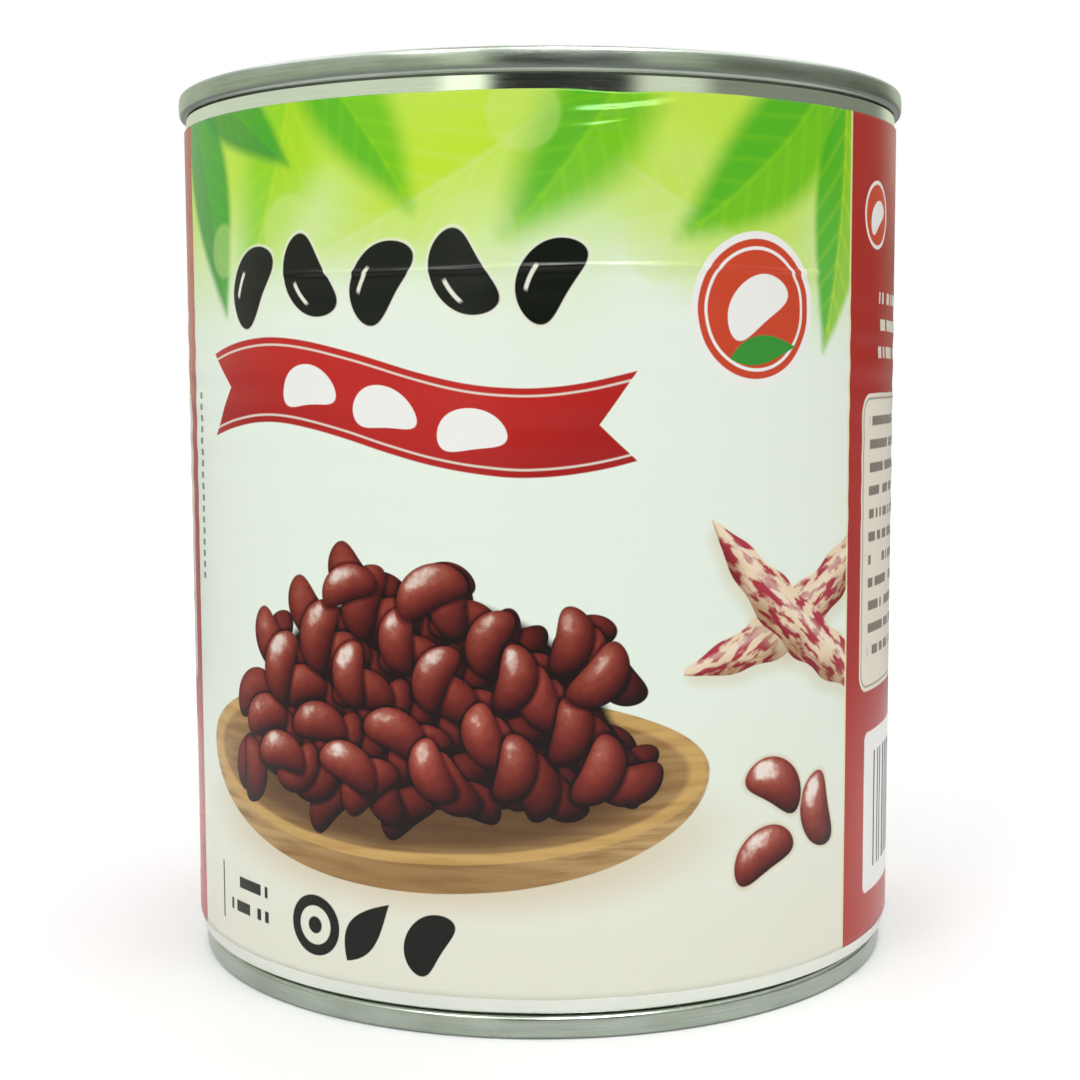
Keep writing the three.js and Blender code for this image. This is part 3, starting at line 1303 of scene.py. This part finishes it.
    def _foot_marks(self) -> None:
        """Dark marks along the foot: a bar, short rules, a ring, a leaf and a bean."""
        tree, at = self.tree, self.foot_ring_at
        mark = self.bar(-44.2, -43.8, 8.5, 16.2)
        mark = tree.largest(mark, self.rules(-41.5, -30.0, 14.4, 3.3, 2, 1.5, 4.0))
        mark = tree.largest(mark, self.disc(at, 3.9) - self.disc(at, 2.5) + self.disc(at, 1.1))
        mark = tree.largest(mark, self.leaf_mark((-15.4, 12.2), 52.0, (5.0, 2.1), 0.04)[0])
        mark = tree.largest(mark, self.bean_mark(*self.local((-7.6, 12.0), 58.0, (0.90, 0.94))))
        self.paint(mark, self.inks.black)

    def _dots(self) -> None:
        """A fine column of dots beside the panel's edge."""
        _, step = self.row(self.y, 54.0, 1.5, 17)
        dots = self.tree.between(step, -0.42, 0.42, 0.1) * self.tree.between(self.x, -50.1, -49.0, 0.1)
        self.paint(dots * 0.75, self.inks.black)

    def _side_ground(self) -> None:
        """The red of the side panels, and the pale line along its edge."""
        tree, inks, left = self.tree, self.inks, self.panel_half_width
        tone = tree.ramp(self.y + self.cloud * 30.0, 20.0, 80.0)
        red = tree.blend(tone, inks.side_red_foot, inks.side_red)
        self.paint(tree.between(self.x, left - 0.45, left, 0.08) * 0.8, inks.side_edge)
        self.paint(tree.ramp(self.x, left - 0.06, left + 0.06), red)

    def _side_panel(self) -> None:
        """What stands on a side panel: a box of ragged rules, a small emblem and a box of bars."""
        tree, inks, at = self.tree, self.inks, self.side_emblem_at
        self.paint(self.box(56.3, 100.3, 38.6, 78.0, 2.6), inks.box)
        rim = self.box(56.8, 99.8, 39.1, 77.5, 2.1) - self.box(57.1, 99.5, 39.4, 77.2, 1.8)
        self.paint(rim * 0.6, inks.rule)
        self.paint(self.rules(59.0, 98.0, 74.4, 3.05, 11, 1.25, 11.0) * 0.85, inks.rule)
        self.paint(self.rules(62.0, 97.0, 90.5, 3.6, 3, 1.5, 23.0) * 0.9, inks.cream)
        self.paint(self.disc(at, 4.4), inks.paper)
        self.paint(self.disc(at, 3.9), inks.orange_red)
        self.paint(self.bean_mark(*self.local(at, 35.0, (0.6, 0.6))), inks.paper)
        self.paint(self.box(58.5, 98.0, 11.0, 33.0, 1.2), inks.paper)
        stripe = tree.math("GREATER_THAN", tree.chance(tree.math("FLOOR", self.x * 1.6), 1.0, 3.0), 0.48)
        self.paint(stripe * self.bar(62.0, 94.5, 14.0, 30.0), inks.black)


@dataclass(frozen=True)
class PrintedPaper:
    """Coated paper with the label's print, a little rubbed."""

    roughness: float = 0.225
    rubbed_roughness: float = 0.265
    specular_level: float = 0.27
    sheet_map: str = "sheet"

    def material(self, design: LabelPrint, zone: Zone) -> bpy.types.Material:
        """Builds the finish of one zone.

        Args:
            design: the print.
            zone: the part of the strip.

        Returns:
            The material.
        """
        made, tree, shader = started(zone.value)
        sheet = tree.out(tree.add("ShaderNodeUVMap", uv_map=self.sheet_map))
        colour = design.printed(tree, sheet, zone)
        rubbed = tree.noise(tree.vector("MULTIPLY", sheet, (60.0, 160.0, 0.0)), 1.0, 3.0, flat=True)
        tree.feed(shader, {"Specular IOR Level": self.specular_level, "Base Color": colour,
                           "Roughness": tree.ramp(rubbed, 0.2, 0.8, self.roughness, self.rubbed_roughness)})
        return made


@dataclass(frozen=True)
class BarePaper:
    """The label's unprinted back and cut edges."""

    name: str = "bare_paper"
    colour: Colour = (0.78, 0.77, 0.72)
    shade: Colour = (0.66, 0.64, 0.58)
    roughness: float = 0.7

    def material(self) -> bpy.types.Material:
        """Builds the finish.

        Returns:
            The material.
        """
        made, tree, shader = started(self.name)
        fibre = tree.noise(tree.object_place(), 1500.0, 3.0)
        colour = tree.blend(fibre, self.shade, self.colour)
        tree.feed(shader, {"Roughness": self.roughness, "Base Color": colour})
        return made


class WrappedSheet:
    """Geometry nodes that wrap a strip round the wall, from a line of its rows' heights."""

    def __init__(self, sheet_map: str) -> None:
        """Builds the tree.

        Args:
            sheet_map: the UV map that keeps the strip's flat coordinates.
        """
        tree = Group("Wrapped sheet", "Rows: Geometry, Columns: Int, Start, End, Radius, Print Radius, Lap, "
                     "Climb, Lap Rise, Crease Height, Crease Rise, Bead Pitch, Bead Depth, Pucker Rise, "
                     "Seed, Material: Material", "Piece: Geometry", "GeometryNodeTree")
        self.group = tree
        grid, point, share = swept(tree, "Rows", tree.given("Columns"), False)
        height = tree.split(point)[2]
        start, end = tree.given("Start"), tree.given("End")
        along = start + (end - start) * share
        self.x, self.up, self.height = along / MM, height / MM, height
        mapped = tree.call("GeometryNodeStoreNamedAttribute",
                           {"Geometry": grid, "Name": sheet_map, "Value": tree.join(along, height)},
                           data_type="FLOAT2", domain="CORNER")
        turn = along / tree.given("Print Radius")
        ahead, aside = tree.math("COSINE", turn) * -1.0, tree.math("SINE", turn)
        spot = tree.join(aside, ahead, height / tree.given("Radius"))
        self.cloud = tree.noise(tree.vector("ADD", spot, tree.join(tree.given("Seed"), 0.0, 0.0)), 3.0, 2.0)
        lap_start = end - tree.given("Lap")
        climb = tree.ramp(along, lap_start - tree.given("Climb"), lap_start) * tree.given("Lap Rise")
        relief = self._crease() + self._pucker() + self._beads() + (self.cloud - 0.5) * (0.10 * MM)
        reach = tree.given("Radius") + climb + relief
        dip = tree.ramp(abs(self.x - 9.6), 7.0, 0.0) * tree.ramp(self.up, 104.0, 113.6) * (0.3 * MM)
        level = height - dip + (self.cloud - 0.5) * (0.5 * MM)
        place = tree.join(reach * aside, reach * ahead, level)
        moved = tree.call("GeometryNodeSetPosition", {"Geometry": mapped, "Position": place})
        finished(tree, tree.call("GeometryNodeSetShadeSmooth", {"Geometry": moved}, domain="FACE"))

    def _bump(self, offset: Field, half_width: float) -> Field:
        """A bell-shaped bump over an offset in millimetres."""
        share = offset / half_width
        return self.group.math("EXPONENT", share * share * -1.0)

    def _crease(self) -> Field:
        """The sharp sideways crease across the front, with the hollow under it.

        Returns:
            How far it stands out.
        """
        tree, x = self.group, self.x
        wander = tree.math("SINE", x * 0.13) * 0.16 + tree.math("SINE", x * 0.047 + 0.6) * 0.22
        offset = (self.height - tree.given("Crease Height")) / MM - wander
        uneven = tree.math("SINE", x * 0.31 + 3.1) * 0.25 + 0.75
        strength = tree.ramp(x, -37.0, -30.0) * tree.ramp(x, 44.0, 36.0) * uneven
        ridge = self._bump(offset, 0.32) - self._bump(offset + 0.85, 0.6) * 0.28
        return ridge * strength * tree.given("Crease Rise")

    def _pucker(self) -> Field:
        """A short fold at the top edge: a sharp ridge, and a lower one that curves up to meet it.

        Returns:
            How far it stands out.
        """
        tree, x = self.group, self.x
        offset = self.up - 110.95 - (x - 4.0) * 0.105
        curve = tree.largest(x - 2.0, 0.0)
        lower = self.up - 109.2 - curve * curve * 0.0165
        strength = tree.ramp(x, 0.5, 7.5) * tree.ramp(x, 18.5, 13.0)
        broken = tree.math("SINE", x * 2.3 + 0.6) * tree.ramp(x, 7.5, 9.5, 0.0, 0.25) + 1.0
        ridge = self._bump(offset, 0.5) * broken + self._bump(lower, 0.4) * 0.5
        hollow = self._bump((offset + lower) * 0.5, 0.6) * 0.14
        return (ridge - hollow) * strength * tree.given("Pucker Rise")

    def _beads(self) -> Field:
        """The faint bands of the wall's rolled beads, pressed through the paper.

        Returns:
            How far they stand out.
        """
        tree = self.group
        wave = tree.math("COSINE", self.height / tree.given("Bead Pitch") * math.tau)
        where = tree.ramp(self.up, 55.0, 61.0) * tree.ramp(self.up, 94.0, 89.0)
        return wave * where * tree.given("Bead Depth") * tree.ramp(self.cloud, 0.25, 0.6, 0.35, 1.0)


@dataclass
class PaperLabel:
    """The printed paper strip, wrapped once round the wall and lapped on the left towards the back."""

    radius: float = 49.84
    print_radius: float = 49.85
    low: float = 5.4
    high: float = 113.6
    thickness: float = 0.1
    start: float = -111.0
    lap: float = 8.0
    climb: float = 14.0
    lap_rise: float = 0.15
    crease_height: float = 93.15
    crease_rise: float = 0.26
    pucker_rise: float = 0.38
    bead_pitch: float = 4.8
    bead_depth: float = 0.05
    seed: float = 4.0
    columns: int = 300
    row: float = 0.9
    fine_row: float = 0.13
    crease_band: float = 1.9
    pucker_band: float = 5.5

    def rows(self) -> list[Point]:
        """The line of the rows' heights, close together at the crease and at the top edge.

        Returns:
            Its points.
        """
        heights = [self.low]
        while heights[-1] < self.high - self.fine_row:
            level = heights[-1]
            if abs(level - self.crease_height) < self.crease_band:
                step = self.fine_row
            else:
                step = 2 * self.fine_row if level > self.high - self.pucker_band else self.row
            heights.append(level + step)
        return [(0.0, height) for height in (*heights[:-1], self.high)]

    def build(self, paper: PrintedPaper, design: LabelPrint, bare: bpy.types.Material) -> bpy.types.Object:
        """Makes the label.

        Args:
            paper: the finish of its outer face.
            design: the print on it.
            bare: the finish of its back and its cut edges.

        Returns:
            The piece.
        """
        finishes = {zone: paper.material(design, zone) for zone in Zone}
        end = self.start + math.tau * self.print_radius + self.lap
        lengths = {
            "Start": self.start, "End": end, "Radius": self.radius, "Print Radius": self.print_radius,
            "Lap": self.lap, "Climb": self.climb, "Lap Rise": self.lap_rise,
            "Crease Height": self.crease_height, "Crease Rise": self.crease_rise,
            "Pucker Rise": self.pucker_rise, "Bead Pitch": self.bead_pitch, "Bead Depth": self.bead_depth}
        label = realised("label", self.rows(), WrappedSheet(paper.sheet_map).group, {
            **{name: length * MM for name, length in lengths.items()},
            "Columns": self.columns, "Seed": self.seed, "Material": finishes[Zone.UPPER]})
        label.data.materials.clear()
        for finish in (*finishes.values(), bare):
            label.data.materials.append(finish)
        self._dress(label.data, design, paper.sheet_map)
        first = label.data.polygons[0]
        if first.normal.dot(Vector((first.center.x, first.center.y, 0.0))) < 0:
            label.data.flip_normals()
        solid = label.modifiers.new("Thickness", "SOLIDIFY")
        solid.thickness = self.thickness * MM
        solid.offset = -1.0
        solid.material_offset = len(finishes)
        solid.material_offset_rim = len(finishes)
        return label

    @staticmethod
    def _dress(mesh: bpy.types.Mesh, design: LabelPrint, sheet_map: str) -> None:
        """Gives each face the finish of the zone that its middle lies in.

        Args:
            mesh: the label's faces.
            design: the print, which knows the zones.
            sheet_map: the UV map with the strip's flat coordinates.
        """
        places = mesh.uv_layers[sheet_map].data
        zones = list(Zone)
        for face in mesh.polygons:
            corners = [places[corner].uv for corner in face.loop_indices]
            along = sum(corner.x for corner in corners) / len(corners) / MM
            up = sum(corner.y for corner in corners) / len(corners) / MM
            face.material_index = zones.index(design.zone(along, up))


# Studio

@dataclass
class Studio:
    """A plain pale floor, soft light and the camera."""

    camera_place: tuple[float, float, float] = (0.0, -263.6, 81.79)
    camera_down: float = 0.09558
    camera_left: float = 0.00088
    camera_roll: float = -0.00365
    lens: float = 60.62
    floor_half: float = 4000.0
    floor_white: float = 0.98
    mirrored_near: float = 0.85
    mirrored_far: float = 0.30
    key_place: tuple[float, float, float] = (-600.0, -900.0, 850.0)
    key_aim: tuple[float, float, float] = (0.0, 0.0, 60.0)
    key_size: float = 450.0
    key_power: float = 3.75
    card_tint: Colour = (0.94, 1.03, 0.82)
    card_stops: tuple[tuple[float, float], ...] = (
        (-180, 0.45), (-160, 0.69), (-32, 0.69), (-27, 1.25), (-18, 1.25), (-13, 0.02), (26, 0.02),
        (32, 0.72), (48, 0.72), (56, 0.24), (134, 0.24), (146, 0.73), (170, 0.73), (180, 0.45))
    sky_level: float = 0.85
    soft_box_level: float = 1.8
    strip_level: float = 28.0

    def camera(self) -> None:
        """Sets the camera that was fitted to the can's outline."""
        data = bpy.data.cameras.new("camera")
        data.lens = self.lens
        data.sensor_width = 36.0
        data.clip_start = 0.01
        eye = bpy.data.objects.new("camera", data)
        turn = (Matrix.Rotation(self.camera_left, 4, "Z")
                @ Matrix.Rotation(math.pi / 2 - self.camera_down, 4, "X")
                @ Matrix.Rotation(self.camera_roll, 4, "Z"))
        eye.matrix_world = Matrix.Translation(Vector(self.camera_place) * MM) @ turn
        bpy.context.scene.collection.objects.link(eye)
        bpy.context.scene.camera = eye

    def floor(self) -> None:
        """Lays the floor. Painted shade: in the reflections of the steel and the paper, its colour darkens
        far from the can.
        """
        half = self.floor_half * MM
        mesh = bpy.data.meshes.new("floor")
        corners = [(-half, -half, 0.0), (half, -half, 0.0), (half, half, 0.0), (-half, half, 0.0)]
        mesh.from_pydata(corners, [], [(0, 1, 2, 3)])
        floor = bpy.data.objects.new("floor", mesh)
        bpy.context.scene.collection.objects.link(floor)
        made, tree, shader = started("floor_white")
        away = tree.vector("LENGTH", tree.object_place())
        # Painted shade: the colour that reflections see falls from the near level to the far level away from
        # the can.
        level = tree.ramp(away, 0.12, 0.30, self.mirrored_near, self.mirrored_far)
        mirrored = tree.out(tree.add("ShaderNodeLightPath"), "Is Glossy Ray")
        tree.feed(shader, {"Roughness": 0.9, "Specular IOR Level": 0.1,
                           "Base Color": tree.blend(mirrored, (self.floor_white,) * 3, tree.grey(level))})
        mesh.materials.append(made)

    def key(self) -> None:
        """Hangs a square soft box that faces the middle of the can."""
        data = bpy.data.lights.new("key", "AREA")
        data.size = self.key_size * MM
        data.energy = self.key_power
        lamp = bpy.data.objects.new("key", data)
        place = Vector(self.key_place) * MM
        lamp.location = place
        lamp.rotation_mode = "QUATERNION"
        lamp.rotation_quaternion = (Vector(self.key_aim) * MM - place).to_track_quat("-Z", "Y")
        bpy.context.scene.collection.objects.link(lamp)

    def world(self) -> None:
        """White to the camera, an even fill to paper and floor, and dark and light cards to steel."""
        world = bpy.data.worlds.new("studio")
        world.use_nodes = True
        bpy.context.scene.world = world
        world.cycles.sampling_method = "NONE"
        tree = Tree(world.node_tree)
        x, y, z = tree.split(tree.out(tree.add("ShaderNodeTexCoord"), "Generated"))
        turn = tree.math("ARCTAN2", x, y * -1.0) / math.tau + 0.5
        stops = [((angle + 180) / 360, tuple(level * part for part in self.card_tint))
                 for angle, level in self.card_stops]
        steel_sky = tree.stops(turn, stops)
        low_right = tree.ramp(z, 0.05, 0.125, 0.65, 0.0) * tree.ramp(turn, 0.80, 0.86)
        sky = tree.ramp(z, 0.16, 0.56)
        box = tree.ramp(z, 0.55, 0.65) * tree.ramp(z, 0.96, 0.9)
        strip = tree.between(turn, 0.506, 0.600, 0.01) * tree.between(z, 0.60, 0.83, 0.03)
        for mask, level in ((low_right, 0.0), (sky, self.sky_level), (box, self.soft_box_level),
                            (strip, self.strip_level)):
            steel_sky = tree.blend(mask, steel_sky, (level,) * 3)
        rays = tree.add("ShaderNodeLightPath")
        fill = tree.largest(tree.fused(z * z, 1.8, 0.15) + x * 0.2, 0.0)
        light = tree.blend(tree.out(rays, "Is Glossy Ray"), tree.grey(fill), steel_sky)
        seen = tree.blend(tree.out(rays, "Is Camera Ray"), light, (1.0, 1.0, 1.0))
        tree.feed(world.node_tree.nodes["Background"], {"Color": seen})

    def build(self) -> None:
        """Sets up the whole studio."""
        self.camera()
        self.floor()
        self.world()
        self.key()
        bpy.context.scene.view_settings.view_transform = "Standard"


def install(piece: bpy.types.Object, node: str) -> None:
    """Puts a finished piece in the place of a CAD node.

    Args:
        piece: the finished piece.
        node: the node that it stands for.
    """
    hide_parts(node)
    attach(piece, BODY)
    LOG.info("%s stands for %s: %d faces", piece.name, node, len(piece.data.polygons))


def main() -> None:
    """Builds the can's four pieces and the studio."""
    logging.basicConfig(level=logging.INFO, format="%(name)s %(message)s")
    can_height, seam_height = 118.5, 2.95
    top_seam_radius, base_seam_radius = 50.5, 48.95

    marks = SteelMarks()
    wall_steel = Tinplate("bright_tinplate", (0.88, 0.91, 0.84), (0.80, 0.84, 0.76), 0.10,
                          (30.0, 30.0, 2600.0), 0.0)
    # Painted shade: the ends' steel gets a much darker colour than the wall's, so that the seams read darker.
    # Its higher roughness is the ends' real duller finish.
    shaded_end_steel = Tinplate("dull_shaded_tinplate", (0.47, 0.525, 0.46), (0.35, 0.395, 0.33), 0.20,
                         (60.0, 3200.0, 200.0), 48.4)
    lathe = TurnedProfile()

    wall = CanWall(can_height, seam_height, base_seam_radius).build(lathe, wall_steel.material(marks))
    install(wall, "can_body")
    shaded_end_finish = shaded_end_steel.material(marks)
    top = SeamedEnd(EndPlace.TOP, top_seam_radius, can_height, seam_height).build(lathe, shaded_end_finish)
    install(top, "top_end")
    base = SeamedEnd(EndPlace.BASE, base_seam_radius, can_height, seam_height).build(lathe, shaded_end_finish)
    install(base, "base_end")

    inks = LabelInks()
    label = PaperLabel()
    design = LabelPrint(inks, Motifs(inks), label.print_radius)
    sheet = label.build(PrintedPaper(), design, BarePaper().material())
    install(sheet, "paper_label")

    Studio().build()


if __name__ == "__main__":
    main()
